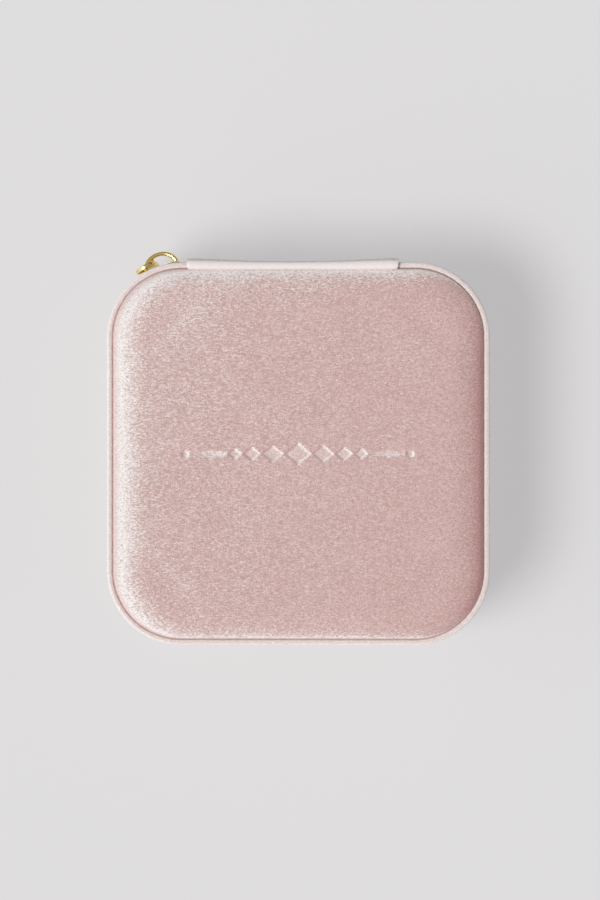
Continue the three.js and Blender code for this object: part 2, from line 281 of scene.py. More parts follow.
class Shader:
    # a node tree that is filled in by expressions on values
    def __init__(self, tree):
        self.tree = tree
        self.tree.nodes.clear()

    def node(self, kind, settings=None, inputs=None, output=0):
        made = self.tree.nodes.new(kind)
        for key, setting in (settings or {}).items():
            setattr(made, key, setting)
        for key, value in (inputs or {}).items():
            self.fill(made.inputs[key], value)
        return Value(self, made.outputs[output]) if len(made.outputs) else None

    def fill(self, socket, value):
        if isinstance(value, Value):
            self.tree.links.new(value.socket, socket)
        elif socket.type == "RGBA" and len(value) == 3:
            socket.default_value = (*value, 1.0)
        else:
            socket.default_value = value

    def axes(self, vector):
        parts = self.node("ShaderNodeSeparateXYZ", {}, {0: vector}).socket.node.outputs
        return [Value(self, part) for part in parts]

    def vectors(self, operation, first, second=(0, 0, 0), output=0):
        return self.node("ShaderNodeVectorMath", {"operation": operation}, {0: first, 1: second}, output)

    def step(self, value, low, high):
        # 0 below low, 1 above high and a soft slope between them
        return self.node("ShaderNodeMapRange", {"interpolation_type": "SMOOTHSTEP"},
                         {0: value, 1: low, 2: high})

    def mix(self, share, first, second):
        return self.node("ShaderNodeMix", {"data_type": "RGBA"}, {0: share, 6: first, 7: second}, output=2)


class Finish(Shader):
    # a material; surface() sets the shader that is seen
    def __init__(self, name):
        self.material = bpy.data.materials.new(name)
        self.material.use_nodes = True
        super().__init__(self.material.node_tree)

    def surface(self, inputs):
        shader = self.node("ShaderNodeBsdfPrincipled", {}, inputs)
        self.node("ShaderNodeOutputMaterial", {}, {"Surface": shader})
        return self.material

    def place(self):
        return self.node("ShaderNodeTexCoord", output="Object")

    def cloth(self):
        return self.node("ShaderNodeUVMap", {"uv_map": "cloth"})

    def noise(self, where, size, detail=2.0, rough=0.5, stretch=(1, 1, 1), output=0):
        # noise whose grains are about size metres across, and stretch times as long each way
        if stretch != (1, 1, 1):
            where = self.vectors("DIVIDE", where, stretch)
        return self.node("ShaderNodeTexNoise", {}, {
            "Vector": where, "Scale": 1 / size, "Detail": detail, "Roughness": rough}, output)

    def wave(self, phase):
        return self.node("ShaderNodeMath", {"operation": "SINE"}, {0: phase * (2 * math.pi)})

    def bump(self, height, strength, distance):
        return self.node("ShaderNodeBump", {}, {
            "Height": height, "Strength": strength, "Distance": distance})


# painted shade for seams: the dark colour that the cloth is painted where it goes down into a seam
seamShadeColour = (0.62, 0.40, 0.38)
# light and dark are the cloth's own tones; deep is the colour of the painted shade, and the pale colour after it
# is that of the painted sheen and of pressed cloth
velvetLook = {
    "light": (0.705, 0.50, 0.48), "dark": (0.50, 0.33, 0.31), "deep": (0.46, 0.23, 0.225),
    "tips": (0.87, 0.84, 0.825), "grain": 0.30 * mm, "row": 0.33 * mm, "rowStretch": 2.6,
    "patch": 9 * mm, "crush": 16 * mm, "grainShare": 2.4, "rowShare": 1.4, "columnShare": 0.9,
    "patchShare": 0.2, "nap": 0.2 * mm, "napStrength": 0.6, "marked": False, "pressed": 0.2,
    "lean": (-0.1, -0.05, -0.45), "wander": 0.07, "deepTo": 0.09, "shine": 0.7, "shineFrom": 0.1,
    "shineTo": 0.5, "shineFalls": (0.5, 0.8), "shineKept": 0.5, "unevenShine": 0.2, "shineGrain": 1.6,
    "sheen": 0.45, "sheenRough": 0.4, "sheenTint": (1.0, 0.96, 0.95, 1.0),
}
# the pad's lean puts the painted sheen on its roll towards the light and the painted shade on its roll turned from
# the light
padLook = dict(velvetLook, lean=(-0.9, 0.2, 0.0), deepTo=0.26, sheen=0.3, shine=0.9, shineFrom=0.265,
               shineTo=0.47, shineFalls=(0.41, 0.58), marked=True)
# the bead is a paler copy of the same velvet that shines nearly all over: painted sheen where it turns away at
# grazing angles
beadSheenLook = dict(velvetLook, lean=(0.0, 0.0, 0.0), shine=0.75, shineFrom=0.02, shineTo=0.42, sheen=0.7,
                light=(0.90, 0.82, 0.80), dark=(0.72, 0.62, 0.60), deep=(0.74, 0.62, 0.60), marked=True)
# the strap's large pressed share paints its flat runs pale: a painted sheen
strapLook = dict(velvetLook, light=(0.74, 0.56, 0.54), dark=(0.52, 0.365, 0.35),
                 tips=(0.86, 0.82, 0.805), marked=True, pressed=0.85)
liningLook = dict(velvetLook, light=(0.72, 0.55, 0.52), dark=(0.55, 0.39, 0.37), deep=(0.5, 0.33, 0.31),
                  lean=(-0.1, -0.1, 0.0), shine=0.5, shineTo=0.6, sheen=0.35)


def velvet(name, look):
    # short pile. Its tips stand in fine rows, each with its own shade. The pile leans to one
    # side, a little differently in every patch, and the base colour is painted from how the view
    # meets that lean: looked at along the pile it is painted pale, a painted sheen, and looked at
    # end-on it is painted deep, a painted shade. A marked piece has a map of where its cloth is
    # pressed flat, painted paler, and where it goes down into a seam, painted dark as painted shade.
    finish = Finish(name)
    where = finish.place()
    drift = finish.vectors("MULTIPLY", finish.noise(where, look["crush"], 2.0, 0.5, output="Color"),
                           (look["wander"],) * 3)
    lean = finish.vectors("ADD", drift, [part - look["wander"] / 2 for part in look["lean"]])
    upright = finish.node("ShaderNodeNewGeometry", output="Normal")
    leaning = finish.vectors("NORMALIZE", finish.vectors("ADD", upright, lean))
    grain = finish.noise(where, look["grain"], 2.0, 0.6) - 0.5
    rows = finish.noise(where, look["row"], 1.0, 0.5, (look["rowStretch"], 1, 1)) - 0.5
    columns = finish.noise(where, look["row"], 1.0, 0.5, (1, look["rowStretch"], 1)) - 0.5
    patch = finish.noise(where, look["patch"], 3.0, 0.55) - 0.5
    threads = (rows + columns * look["columnShare"]) * look["rowShare"]
    share = grain * look["grainShare"] + threads + patch * look["patchShare"] + 0.5
    facing = finish.node("ShaderNodeLayerWeight", {}, {"Blend": 0.5, "Normal": leaning}, output="Facing")
    uneven = facing + (grain + rows) * look["unevenShine"]
    # painted sheen: the base colour turns pale where the view runs along the leaned pile
    shine = finish.step(uneven, look["shineFrom"], look["shineTo"]) * look["shine"]
    shine = shine * (1 - finish.step(facing, *look["shineFalls"]) * (1 - look["shineKept"]))
    shine = shine * (1 + (grain + rows) * look["shineGrain"])
    # painted shade: the base colour turns deep where the view meets the leaned pile end-on
    cloth = finish.mix(finish.step(uneven, 0.0, look["deepTo"]), look["deep"],
                       finish.mix(share, look["dark"], look["light"]))
    height = grain + rows * 0.4
    if look["marked"]:
        pressed, seam, _ = finish.axes(finish.cloth())
        # seams are painted dark as painted shade; pressed cloth is painted pale, which on the strap is a painted
        # sheen
        cloth = finish.mix(pressed * look["pressed"], finish.mix(seam, cloth, seamShadeColour), look["tips"])
        shine = shine * (1 - seam)
        height = height * (1 - pressed * 0.6)
    return finish.surface({
        "Base Color": finish.mix(shine, cloth, look["tips"]),
        "Roughness": 0.95,
        "Specular IOR Level": 0.1,
        "Sheen Weight": look["sheen"],
        "Sheen Roughness": look["sheenRough"],
        "Sheen Tint": look["sheenTint"],
        "Normal": finish.bump(height, look["napStrength"], look["nap"]),
    })


goldLook = {"light": (1.0, 0.85, 0.40), "dark": (0.95, 0.72, 0.29), "tint": (1.0, 0.86, 0.52, 1.0),
            "rough": 0.17, "cloud": 3 * mm, "rub": 0.2 * mm, "rubDeep": 0.01 * mm}


def gold(name, look):
    # polished plating, a little deeper in colour here and there, with hair-fine rubbing marks
    finish = Finish(name)
    where = finish.place()
    cloud = finish.noise(where, look["cloud"], 2.0)
    marks = finish.noise(where, look["rub"], 3.0)
    return finish.surface({
        "Base Color": finish.mix(cloud, look["dark"], look["light"]),
        "Metallic": 1.0,
        "Specular Tint": look["tint"],
        "Roughness": marks * 0.08 + cloud * 0.06 + (look["rough"] - 0.07),
        "Normal": finish.bump(marks, 0.06, look["rubDeep"]),
    })


tapeLook = {"light": (0.52, 0.34, 0.325), "dark": (0.36, 0.215, 0.205), "rib": 0.55 * mm,
            "thread": 0.32 * mm, "fuzz": 0.5 * mm, "deep": 0.06 * mm}


def wovenTape(name, look):
    # twill: ridges run slantwise over the cloth, cut into threads along its length
    finish = Finish(name)
    along, across, _ = finish.axes(finish.cloth())
    ridge = finish.wave((along + across) * (1 / look["rib"]))
    thread = finish.wave((along - across * 0.3) * (1 / look["thread"]))
    weave = ridge * 0.3 + thread * 0.15 + 0.5
    fuzz = finish.noise(finish.place(), look["fuzz"], 3.0)
    return finish.surface({
        "Base Color": finish.mix(weave * 0.7 + fuzz * 0.6 - 0.15, look["dark"], look["light"]),
        "Roughness": 0.85,
        "Sheen Weight": 0.2,
        "Sheen Roughness": 0.5,
        "Normal": finish.bump(weave + fuzz * 0.3, 0.7, look["deep"]),
    })


nylonLook = {"light": (0.50, 0.31, 0.295), "dark": (0.38, 0.22, 0.21), "rough": 0.38, "coat": 0.15,
             "cloud": 0.9 * mm, "deep": 0.03 * mm}


def nylon(name, look):
    finish = Finish(name)
    cloud = finish.noise(finish.place(), look["cloud"], 2.0)
    return finish.surface({
        "Base Color": finish.mix(cloud, look["dark"], look["light"]),
        "Roughness": cloud * 0.15 + (look["rough"] - 0.07),
        "Coat Weight": look["coat"],
        "Normal": finish.bump(cloud, 0.2, look["deep"]),
    })


plasticLook = {"light": (0.78, 0.74, 0.72), "dark": (0.72, 0.68, 0.66), "grain": 0.8 * mm, "rough": 0.5,
               "deep": 0.02 * mm, "detail": 3.0}
boardLook = {"light": (0.36, 0.33, 0.29), "dark": (0.27, 0.245, 0.22), "grain": 1.1 * mm, "rough": 0.9,
             "deep": 0.06 * mm, "detail": 6.0}
foamLook = {"light": (0.80, 0.76, 0.64), "dark": (0.62, 0.58, 0.47), "grain": 0.6 * mm, "rough": 0.95,
            "deep": 0.15 * mm, "detail": 1.0}


def plainGrain(name, look):
    # a matt material whose colour, roughness and surface all follow one noise
    finish = Finish(name)
    grain = finish.noise(finish.place(), look["grain"], look["detail"])
    return finish.surface({
        "Base Color": finish.mix(grain * 1.3 - 0.15, look["dark"], look["light"]),
        "Roughness": grain * 0.1 + (look["rough"] - 0.05),
        "Normal": finish.bump(grain, 0.5, look["deep"]),
    })


mirrorLook = {"light": (0.93, 0.94, 0.95), "dark": (0.86, 0.88, 0.88), "haze": 18 * mm}


def mirrorGlass(name, look):
    finish = Finish(name)
    haze = finish.noise(finish.place(), look["haze"], 2.0)
    return finish.surface({
        "Base Color": finish.mix(haze, look["dark"], look["light"]),
        "Metallic": 1.0,
        "Roughness": haze * 0.02 + 0.005,
    })


finishes = {
    "velvet": velvet("plush_velvet", velvetLook),
    "pad_velvet": velvet("pad_velvet", padLook),
    "bead_velvet": velvet("bead_velvet", beadSheenLook),
    "strap_velvet": velvet("strap_velvet", strapLook),
    "lining_velvet": velvet("lining_velvet", liningLook),
    "zip_tape": wovenTape("zip_tape_twill", tapeLook),
    "zip_coil": nylon("nylon_filament", nylonLook),
    "gold_metal": gold("polished_gold_plating", goldLook),
    "case_plastic": plainGrain("moulded_plastic", plasticLook),
    "greyboard": plainGrain("pressed_board", boardLook),
    "foam": plainGrain("open_cell_foam", foamLook),
    "mirror_glass": mirrorGlass("silvered_glass", mirrorLook),
}
slotOf = {part["node"]: part["material_slot"] for part in frame["record"]["subparts"]}
for nodeName, node in frame["nodes"].items():
    node.data.materials.clear()
    node.data.materials.append(finishes[slotOf[nodeName]])
print("finishes made:", len(finishes))


def place(piece, slot, body, stands=(), fill=None, look=None):
    # gives a new piece its finish and hides the CAD nodes that it stands for. A piece with one
    # body is attached to it; one across two bodies is only fixed where it stands
    piece.data.materials.clear()
    piece.data.materials.append(finishes[look or slot])
    if isinstance(body, str):
        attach(piece, body)
    else:
        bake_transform(piece)
    if stands:
        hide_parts(*stands)
    return piece


view = {"aside": 0.024, "middle": (0.0005, 0.0010), "height": 1.10, "top": 0.048, "lens": 161.2}


def addCamera():
    data = bpy.data.cameras.new("camera")
    data.lens, data.clip_start, data.clip_end = view["lens"], 0.01, 20
    camera = bpy.data.objects.new("camera", data)
    camera.location = (view["middle"][0] + view["aside"], view["middle"][1], view["height"])
    camera.rotation_euler = (0, math.atan2(view["aside"], view["height"] - view["top"]), 0)
    scene.collection.objects.link(camera)
    scene.camera = camera


studio = {
    "keyFrom": (-0.36, -0.19, 0.92), "keyPower": 2.0, "keyAngle": 20, "keyColour": (1.0, 0.995, 0.985),
    "wall": 0.135, "ceiling": 0.20, "ceilingSoft": (0.25, 0.85),
    "floor": (0.325, 0.32, 0.322), "floorGrain": 2 * mm, "floorDip": 0.985, "floorReach": 3.0,
    "floorGlow": (0.404, 0.400, 0.404),
}
windows = [
    {"power": 0.74, "from": (-0.80, -0.34, 0.42), "soft": (0.62, 0.90)},
    {"power": 0.444, "from": (0.88, -0.1, 0.45), "soft": (0.90, 0.96)},
]


def addRoom():
    # a pale room: an even ceiling, dimmer walls, a big soft window on the left of the front
    # and a narrow one on the right, so that polished things have something to show
    world = bpy.data.worlds.new("room")
    world.use_nodes = True
    room = Shader(world.node_tree)
    ray = room.node("ShaderNodeTexCoord", output="Generated")
    power = room.step(room.axes(ray)[2], *studio["ceilingSoft"]) * studio["ceiling"] + studio["wall"]
    for window in windows:
        near = room.vectors("DOT_PRODUCT", ray, Vector(window["from"]).normalized(), output="Value")
        power = power + room.step(near, *window["soft"]) * window["power"]
    back = room.node("ShaderNodeBackground", {}, {"Color": (1.0, 1.0, 1.0), "Strength": power})
    room.node("ShaderNodeOutputWorld", {}, {"Surface": back})
    scene.world = world


def addFloor():
    # matt paper that glows a little, as paper under even light from all over does
    finish = Finish("paper_floor")
    grain = finish.noise(finish.place(), studio["floorGrain"], 3.0)
    shade = tuple(part * studio["floorDip"] for part in studio["floor"])
    corners = [(x * studio["floorReach"], y * studio["floorReach"], 0)
               for x, y in [(-1, -1), (1, -1), (1, 1), (-1, 1)]]
    floor = makeMesh("floor", corners, [(0, 1, 2, 3)])
    floor.data.materials.append(finish.surface({
        "Base Color": finish.mix(grain, shade, studio["floor"]),
        "Roughness": 0.95,
        "Specular IOR Level": 0.0,
        "Emission Color": studio["floorGlow"],
        "Emission Strength": 1.0,
    }))


def addKey():
    key = bpy.data.lights.new("key", "SUN")
    key.energy, key.angle = studio["keyPower"], math.radians(studio["keyAngle"])
    key.color = studio["keyColour"]
    lamp = bpy.data.objects.new("key", key)
    lamp.rotation_euler = (-Vector(studio["keyFrom"])).to_track_quat("-Z", "Y").to_euler()
    lamp.location = Vector(studio["keyFrom"])
    scene.collection.objects.link(lamp)


addCamera()
addRoom()
addFloor()
addKey()
scene.view_settings.view_transform = "Standard"
print("camera, light and floor set")


pad = {
    "roll": 9 * mm, "bulge": 2.0, "lift": 1.2 * mm, "lap": 0.5 * mm, "seamDepth": 0.18 * mm,
    "seamWide": 0.4 * mm, "stillEdge": (0.4 * mm, 5 * mm), "ripple": 0.06 * mm, "rippleSize": 9 * mm,
    "mark": 0.42 * mm, "markEdge": 0.34 * mm, "stations": 640, "ringStep": 0.3 * mm, "rollRings": 26,
}
settling = {"sheet": 56, "held": 1.2 * mm, "steps": 20, "give": 0.35 * mm, "share": 0.3,
            "fade": (2 * mm, 14 * mm)}
clothSettings = {"vertex_group_mass": "held", "quality": 6, "tension_stiffness": 12,
                 "bending_stiffness": 0.4, "shrink_min": -0.006, "use_pressure": True,
                 "uniform_pressure_force": 2.2}
ornamentSizes = {
    "lozenges": [(0.0, 2.75 * mm), (6.6 * mm, 2.2 * mm), (12.0 * mm, 1.75 * mm), (16.4 * mm, 1.35 * mm)],
    "squash": 0.85, "bar": (18.8 * mm, 27.6 * mm), "barThick": 0.75 * mm, "barTaper": 4.4 * mm,
    "dot": 0.85 * mm, "dotAt": 29.3 * mm,
}


def ornament(x, y):
    # a row of lozenges that shrink outwards from a large one, with a fine tapered bar and a
    # dot beyond them on each side; 1 inside a shape and 0 outside it
    sizes = ornamentSizes
    reach = np.abs(x)
    inside = sizes["dot"] - np.hypot(reach - sizes["dotAt"], y)
    for middle, size in sizes["lozenges"]:
        inside = np.maximum(inside, size - np.abs(reach - middle) * sizes["squash"] - np.abs(y))
    bar = np.minimum(reach - sizes["bar"][0], sizes["bar"][1] - reach)
    thin = sizes["barThick"] * np.clip(bar / sizes["barTaper"], 0, 1) ** 0.7
    inside = np.maximum(inside, np.minimum(thin - np.abs(y), bar))
    return smooth(-pad["markEdge"] / 2, pad["markEdge"] / 2, inside)


def crown(depth, top, drop, run, bulge):
    # how high a padded top stands: it rolls over at its edge as a superellipse
    near = 1 - np.clip(depth / run, 0, 1)
    return top - drop * (1 - (1 - near ** bulge) ** (1 / bulge))


def settledSheet(inset, top, drop, run):
    # cloth held along its seam and pushed up by the foam: the heights that it settles at,
    # above the plain crown, on a square grid over the whole top
    count = settling["sheet"]
    line = np.linspace(-half + inset, half - inset, count)
    x, y = np.meshgrid(line, line, indexing="ij")
    depth = insideBy(x, y, inset)
    z = crown(np.maximum(depth, 0), top, drop, run, pad["bulge"])
    sheet = skin("settling_sheet", np.stack([x, y, z], -1))
    held = sheet.vertex_groups.new(name="held")
    held.add(np.flatnonzero(depth.ravel() < settling["held"]).tolist(), 1.0, "REPLACE")
    cloth = sheet.modifiers.new("Cloth", "CLOTH").settings
    for setting, value in clothSettings.items():
        setattr(cloth, setting, value)
    cloth.effector_weights.gravity = 0
    for step in range(settling["steps"]):
        scene.frame_set(step + 1)
    settled = sheet.evaluated_get(bpy.context.evaluated_depsgraph_get()).to_mesh()
    place = np.empty(len(settled.vertices) * 3)
    settled.vertices.foreach_get("co", place)
    rise = place.reshape(count, count, 3)[..., 2] - z
    bpy.data.objects.remove(sheet)
    scene.frame_set(1)
    return line, np.clip(rise, -settling["give"], settling["give"])


def between(line, heights, x, y):
    # heights on a square grid, read in between by quadratic B-splines, which leave no creases
    last = len(line) - 1
    places, weights = [], []
    for value in (x, y):
        u = (value - line[0]) / (line[1] - line[0])
        near = np.rint(u).astype(int)
        off = u - near
        places.append([np.clip(near + k, 0, last) for k in (-1, 0, 1)])
        weights.append([(0.5 - off) ** 2 / 2, 0.75 - off ** 2, (0.5 + off) ** 2 / 2])
    return sum(weights[0][a] * weights[1][b] * heights[places[0][a], places[1][b]]
               for a in range(3) for b in range(3))


def addLidTop():
    # rings from the middle out to the seam, where the cloth meets the bead, then back under
    low, high = limits("lid_top_cover")
    inset = insetOf("lid_top_cover") - pad["lap"]
    top, seam = high[2] + pad["lift"], limits("lid_piping")[1][2] - pad["seamDepth"]
    edge = pad["roll"] * (1 - np.linspace(1, 0, pad["rollRings"]) ** 0.5)
    flat = np.arange(pad["roll"], half - inset, pad["ringStep"])[1:]
    rings = np.concatenate([edge, flat, [half - inset]])[::-1]
    under = np.array([0.0, 0.5 * mm, 2 * mm, 20 * mm, half - inset])
    grid = plate(inset + np.concatenate([rings, under]), low[2], pad["stations"])
    upper = grid[:, :len(rings)]
    x, y = upper[..., 0], upper[..., 1]
    depth = np.broadcast_to(rings, x.shape)
    upper[..., 2] = crown(depth, top, top - seam, pad["roll"], pad["bulge"])
    line, rise = settledSheet(inset, top, top - seam, pad["roll"])
    upper[..., 2] += between(line, rise, x, y) * settling["share"] * smooth(*settling["fade"], depth)
    still = smooth(*pad["stillEdge"], depth)
    upper[..., 2] += pad["ripple"] * ripple(x, y, pad["rippleSize"], 1.3) * still
    pressed = ornament(x, y)
    upper[..., 2] -= pad["mark"] * pressed
    marks = np.zeros(grid.shape[:2] + (2,))
    marks[:, :len(rings), 0] = pressed
    marks[..., 1] = 1
    # a narrow band along the seam is painted dark: painted shade in the groove
    marks[:, :len(rings), 1] = 1 - smooth(pad["seamWide"] / 2, pad["seamWide"], depth)
    piece = skin("padded_lid_top", grid, marks, wrapU=True)
    place(piece, "velvet", "lid", ["lid_top_cover"], fill=0.85, look="pad_velvet")


addLidTop()
print("padded lid top made")


cover = {"thick": 0.8 * mm, "edge": 0.36 * mm, "hem": 0.12 * mm, "hemReach": (2.2 * mm, 0.4 * mm),
         "stillEdge": 3 * mm, "ripple": 0.07 * mm, "rippleSize": 6 * mm, "rows": 26, "step": 1.0 * mm}


def addWallCover(name, body, zipSide):
    # the wall's fabric: a thin upright band, folded over at its edges and a little thicker
    # along the zip, where it is turned in
    low, high = limits(name)
    way = wayRound(cover["step"])
    profile = roundedBox(-cover["thick"], 0, low[2], high[2], cover["edge"], cover["rows"])
    profile = np.repeat(profile[None], len(way), 0)
    out, up = profile[..., 0].copy(), profile[..., 1]
    fold = high[2] if zipSide == "top" else low[2]
    face = smooth(-cover["thick"], -cover["thick"] / 2, out)
    hem = cover["hem"] * smooth(*cover["hemReach"], np.abs(up - fold))
    free = smooth(0, cover["stillEdge"], up - low[2]) * smooth(0, cover["stillEdge"], high[2] - up)
    wave = cover["ripple"] * ripple(way[:, None], up, cover["rippleSize"], low[2] * 100) * free
    profile[..., 0] += face * (hem + wave)
    piece = carry(f"velvet_{name}", way, profile)
    place(piece, "velvet", body, [name])


bead = {"stretch": 1.22, "proud": 0.36 * mm, "pinch": 0.08 * mm, "pinchLength": 3.1 * mm,
        "fuzz": 0.05 * mm, "fuzzSize": 0.33 * mm, "points": 28, "step": 0.45 * mm,
        "seamAside": 0.75, "seamUp": 0.25, "seam": (0.62, 0.95)}


def addPiping(name, body, seamSide):
    # a cord wrapped in fabric: a round bead that is drawn in slightly where it is sewn. Its
    # inner side, towards the seam, is painted dark: painted shade.
    low, high = limits(name)
    radius = (high[2] - low[2]) / 2
    way = wayRound(bead["step"])
    angle = np.linspace(0, 2 * math.pi, bead["points"], endpoint=False)
    pinch = bead["pinch"] * (0.5 + 0.5 * ripple(way, 0, bead["pinchLength"] / 4, 2.0))
    fuzz = bead["fuzz"] * ripple(way[:, None], radius * angle, bead["fuzzSize"], 3.0)
    thick = (radius * bead["stretch"] - pinch)[:, None] + fuzz
    profile = np.stack([bead["proud"] - insetOf(name) - radius + thick * np.cos(angle),
                        (low[2] + high[2]) / 2 + thick * np.sin(angle)], -1)
    # the inner side is marked for the painted seam shade
    inward = -np.cos(angle) * bead["seamAside"] + np.sin(angle) * seamSide * bead["seamUp"]
    marks = np.stack([np.zeros_like(angle), smooth(*bead["seam"], inward)], -1)
    piece = carry(f"velvet_{name}", way, profile, marks=marks)
    place(piece, "velvet", body, [name], look="bead_velvet")


bottom = {"turn": 1.3 * mm, "rows": 7, "flat": [20 * mm, 8 * mm], "rim": 0.3 * mm, "lap": 3 * mm,
          "stations": 360}


def addBottom():
    # the bottom's fabric over its board: flat where it stands, rounded up to the bead
    low, high = limits("bottom_cover")
    inset = insetOf("bottom_cover")
    inward, rise = roundOver(bottom["turn"], bottom["rows"])
    rings = [half - inset, *bottom["flat"], *inward, 0.0, bottom["rim"], bottom["lap"], half - inset]
    heights = [0.0, 0.0, 0.0, *rise, high[2] - bottom["rim"], high[2], high[2], high[2]]
    grid = plate(inset + np.array(rings), low[2] + np.array(heights), bottom["stations"])
    place(skin("velvet_bottom", grid, wrapU=True), "velvet", "base", ["bottom_cover"])


addWallCover("base_wall_cover", "base", "top")
addWallCover("lid_wall_cover", "lid", "bottom")
addPiping("base_piping", "base", -1)
addPiping("lid_piping", "lid", 1)
addBottom()
print("covers, beads and bottom made")


strap = {
    "thick": 1.1 * mm, "bow": 1.1 * mm, "bowFall": 2.2, "bowReach": 4 * mm, "round": 2.0 * mm,
    "bendReach": 4.5 * mm, "around": 200, "alongStep": 0.5 * mm, "acrossPower": 0.35,
    "deepPower": 0.7, "ripple": 0.05 * mm, "rippleSize": 5 * mm, "fuzz": 0.05 * mm,
    "fuzzSize": 0.4 * mm, "narrow": 1.2 * mm, "narrowReach": 2.6 * mm, "tuck": 0.1 * mm,
    "tuckOut": 0.35 * mm, "tuckDown": 1.9 * mm, "below": 0.15 * mm, "foot": 0.45 * mm,
    "turned": (0.35, 0.85), "seam": (0.3 * mm, 0.8 * mm),
}


def roundedWay(corners, radius, step):
    # a way through a list of corners, each rounded over up to just under half of each leg, cut
    # into even steps
    corners = np.array(corners)
    way = [corners[0]]
    t = np.linspace(0, 1, 9)[:, None]
    for before, corner, after in zip(corners, corners[1:], corners[2:]):
        reach = min(radius, math.dist(before, corner) / 2.01, math.dist(after, corner) / 2.01)
        a, b = (corner + (end - corner) / math.dist(end, corner) * reach for end in (before, after))
        way += list((1 - t) ** 2 * a + 2 * t * (1 - t) * corner + t ** 2 * b)
    way = np.array(way + [corners[-1]])
    length = lengthsAlong(way)[-1]
    even = np.linspace(0, length, max(int(length / step), 8) + 1)
    return pointsAlong(way, even), even


def strapWay(low, high):
    # the strap's middle line, seen from the side: from the seam at the top, over the bead,
    # down the back and under the case
    face = limits("hinge_strap_base")[1][1]
    middle = face - strap["bow"] - strap["thick"] / 2
    tuck = low[1] + strap["tuck"]
    over, under = high[2] - strap["below"], low[2] + strap["foot"]
    corners = [(tuck, high[2] - strap["tuckDown"]), (tuck + strap["tuckOut"], over), (middle, over),
               (middle, under), (tuck, under)]
    return roundedWay(corners, strap["round"], strap["alongStep"])


def bendOf(reach):
    # two points on the hinge line, reach below and above the zip's height
    return (0, hinge[1], zipHeight - reach), (0, hinge[1], zipHeight + reach)


def addStrap():
    # one band of fabric over a soft core. Its section, flat with round ends, is carried along
    # the strap's way. The band bows away from the wall towards its ends.
    low, high = limits("hinge_strap_base")[0], limits("hinge_strap_lid")[1]
    way, even = strapWay(low, high)
    ahead = unit(np.gradient(way, axis=0))
    angle = np.linspace(0, 2 * math.pi, strap["around"], endpoint=False)
    wide = squared(np.cos(angle), strap["acrossPower"])
    deep = squared(np.sin(angle), strap["deepPower"])
    centre, reach = (low[0] + high[0]) / 2, (high[0] - low[0]) / 2
    # narrower by a rounded corner where it is tucked in at the two ends
    fromEnd = np.minimum(even, even[-1] - even)
    narrow = strap["narrow"] * (1 - np.clip(fromEnd / strap["narrowReach"], 0, 1)) ** 2
    x = centre + (reach - narrow)[:, None] * wide
    upright = smooth(0, strap["bowReach"], fromEnd)[:, None]
    bowed = strap["bow"] * np.abs(wide) ** strap["bowFall"] * upright
    wave = strap["ripple"] * ripple(x, even[:, None], strap["rippleSize"], 4.0)
    wave += strap["fuzz"] * ripple(x, even[:, None], strap["fuzzSize"])
    height = bowed + strap["thick"] / 2 * deep + wave * (deep > 0)
    grid = gridOf(x, way[:, :1] - ahead[:, 1:] * height, way[:, 1:] + ahead[:, :1] * height)
    marks = np.zeros(grid.shape[:2] + (2,))
    # the flat runs, over the top and under the case, are marked pressed and painted pale: a painted sheen
    marks[..., 0] = smooth(*strap["turned"], np.abs(ahead[:, :1]))
    # the tucked-in ends are painted dark: painted shade at the seam
    marks[..., 1] = 1 - smooth(*strap["seam"], fromEnd)[:, None]
    piece = skin("hinge_strap", grid, marks, wrapV=True, capped=True)
    place(piece, "velvet", ("base", "lid", *bendOf(strap["bendReach"])),
          ["hinge_strap_base", "hinge_strap_lid"], look="strap_velvet")


hingeTape = {"longer": 2.2 * mm, "shorter": 0.25 * mm, "edge": 0.2 * mm, "levels": 30, "bendReach": 3 * mm}


def addHingeLining():
    # the tape behind the strap, woven like the zip's, which closes the gap inside
    low, high = limits("hinge_lining_base")[0], limits("hinge_lining_lid")[1]
    profile = roundedBox(low[0] - hingeTape["longer"], high[0] + hingeTape["shorter"],
                         0, high[1] - low[1], hingeTape["edge"])
    levels = np.linspace(low[2], high[2], hingeTape["levels"])[:, None]
    grid = gridOf(profile[:, 0], low[1] + profile[:, 1], levels)
    piece = skin("hinge_tape", grid, grid[..., ::2], wrapV=True, capped=True)
    place(piece, "zip_tape", ("base", "lid", *bendOf(hingeTape["bendReach"])),
          ["hinge_lining_base", "hinge_lining_lid"])


addStrap()
addHingeLining()
print("hinge strap made")


zipSizes = {
    "sliderFar": math.radians(33), "step": 1.2 * mm, "tapeGap": 0.3 * mm, "tapeEdge": 0.2 * mm,
    "tapeRows": 6, "liftStart": 1 * mm, "liftLength": 3.5 * mm, "clear": 0.25 * mm,
    "pitch": 1.42 * mm, "wire": 0.34 * mm, "meet": 0.2 * mm, "slant": 0.22 * mm,
    "loopIn": 0.425 * mm, "firstLoop": 2.6 * mm, "lastLoop": 2.4 * mm, "lidFirst": 0.6 * mm,
    "apart": 0.1 * mm, "stitch": 0.16 * mm, "stitchHalf": 0.36 * mm, "stitchIn": 0.8 * mm,
    "stitchUp": 0.4 * mm, "clipEdge": 0.3 * mm,
}
# the way round to the end of the parked slider, on the back left corner's arc
sliderEnd = runLength / 2 + zipSizes["sliderFar"] * cornerRadius


